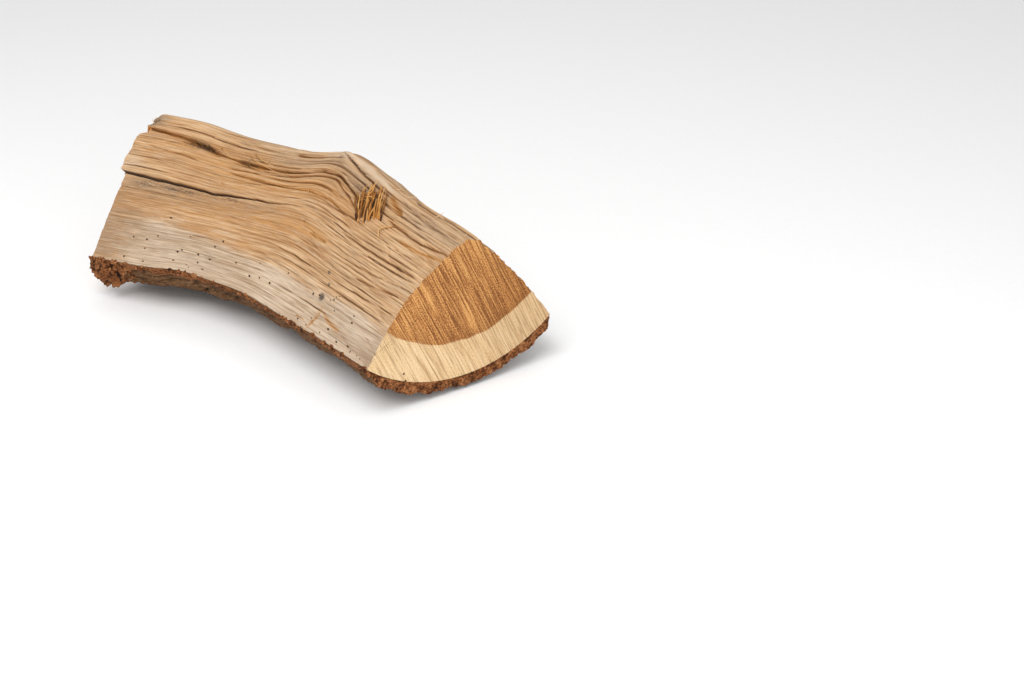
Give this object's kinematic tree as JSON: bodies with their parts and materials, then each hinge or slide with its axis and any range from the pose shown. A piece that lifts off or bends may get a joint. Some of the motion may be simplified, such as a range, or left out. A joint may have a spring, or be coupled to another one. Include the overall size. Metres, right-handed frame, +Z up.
{
  "type": "split log",
  "caption": "Split firewood log: a bent wedge of hardwood sawn square at the ends, with two split faces meeting at a crest and bark along its rounded underside.",
  "frame": {"origin": "bottom centre of the bounding box, on the floor that the bark lies on", "axes": "+X out of the square-cut sawn end and along the log's longest extent, -Y to the side of the broad split face, +Z up, through the split crest"},
  "size_m": [0.2776, 0.197, 0.1114],
  "materials": {
    "wood": "rough split grain, tan heartwood and pale cream sapwood, sawn ends",
    "bark": "rough flaky dark brown bark with a reddish torn edge"
  },
  "bodies": {
    "root": {"wood": "wood", "bark": "bark"}
  },
  "joints": []
}
